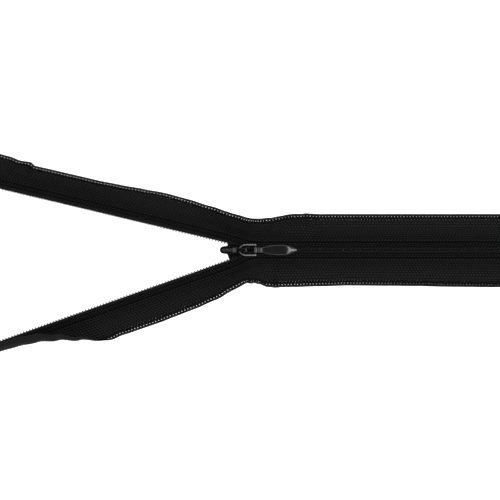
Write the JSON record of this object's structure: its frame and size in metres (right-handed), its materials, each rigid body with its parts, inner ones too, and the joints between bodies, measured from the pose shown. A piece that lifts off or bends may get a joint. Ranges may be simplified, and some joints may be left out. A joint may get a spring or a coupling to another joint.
{
  "type": "concealed coil zipper",
  "caption": "Concealed closed-end coil zipper with knitted tapes, shown half open, with a slider, a wire link and a drop-shaped pull tab.",
  "frame": {"origin": "point on the surface under the slider where the two coils meet, at rest", "axes": "+X along the closed chain towards the bottom stop, +Y towards the right tape as worn, +Z out of the front"},
  "size_m": [0.2319, 0.089, 0.005],
  "materials": {
    "tape": "matt warp-knitted polyester",
    "coil": "satin monofilament",
    "binding": "matt polyester thread",
    "stop": "satin black paint",
    "slider": "gloss black paint on a zinc casting",
    "link": "gloss black paint on wire",
    "tab": "gloss black paint on a zinc casting"
  },
  "bodies": {
    "bottom_end": {"bottom_stop": "stop", "right_tape_tail": "tape", "left_tape_tail": "tape", "right_coil_tail": "coil", "left_coil_tail": "coil"},
    "right_half": {"right_tape_closed": "tape", "right_coil_closed": "coil", "right_binding_closed": "binding"},
    "left_half": {"left_tape_closed": "tape", "left_coil_closed": "coil", "left_binding_closed": "binding"},
    "right_leg": {"right_tape_open": "tape", "right_coil_open": "coil", "right_binding_open": "binding", "right_top_stop": "stop"},
    "left_leg": {"left_tape_open": "tape", "left_coil_open": "coil", "left_binding_open": "binding", "left_top_stop": "stop"},
    "coils_in_slider": {"right_coil_in_slider": "coil", "left_coil_in_slider": "coil"},
    "slider": {"slider_body": "slider"},
    "link": {"pull_link": "link"},
    "tab": {"pull_tab": "tab"}
  },
  "joints": [
    {"name": "slider_open", "type": "slide", "parent": "bottom_end", "child": "coils_in_slider", "axis": [1, 0, 0], "range_m": [0, 0.095], "deforming": ["right_tape_closed", "right_coil_closed", "right_binding_closed", "right_tape_open", "right_coil_open", "right_binding_open", "left_tape_closed", "left_coil_closed", "left_binding_closed", "left_tape_open", "left_coil_open", "left_binding_open"]},
    {"name": "slider_close", "type": "slide", "parent": "coils_in_slider", "child": "slider", "axis": [1, 0, 0], "range_m": [-0.085, 0], "deforming": ["right_coil_in_slider", "left_coil_in_slider"]},
    {"name": "right_half_turn", "type": "hinge", "parent": "bottom_end", "child": "right_half", "pos_m": [0.1, 0, 0], "axis": [0, 0, 1], "range_deg": [-8, 0]},
    {"name": "left_half_turn", "type": "hinge", "parent": "bottom_end", "child": "left_half", "pos_m": [0.1, 0, 0], "axis": [0, 0, 1], "range_deg": [0, 8]},
    {"name": "right_leg_turn", "type": "hinge", "parent": "right_half", "child": "right_leg", "pos_m": [0, 0, 0], "axis": [0, 0, 1], "range_deg": [0, 13.4]},
    {"name": "left_leg_turn", "type": "hinge", "parent": "left_half", "child": "left_leg", "pos_m": [0, 0, 0], "axis": [0, 0, 1], "range_deg": [-19.5, 0]},
    {"name": "link_swing", "type": "hinge", "parent": "slider", "child": "link", "pos_m": [-0.00613, 0, 0.0039], "axis": [0, -1, 0], "range_deg": [0, 100]},
    {"name": "tab_swing", "type": "hinge", "parent": "link", "child": "tab", "pos_m": [-0.00043, 0, 0.0039], "axis": [0, -1, 0], "range_deg": [0, 75]}
  ],
  "couplings": [
    {"joint": "right_half_turn", "follows": "slider_open", "rad_per_m": -1.4697},
    {"joint": "left_half_turn", "follows": "slider_open", "rad_per_m": 1.4697},
    {"joint": "right_leg_turn", "follows": "slider_close", "rad_per_m": -2.7514},
    {"joint": "left_leg_turn", "follows": "slider_close", "rad_per_m": 4.004}
  ]
}
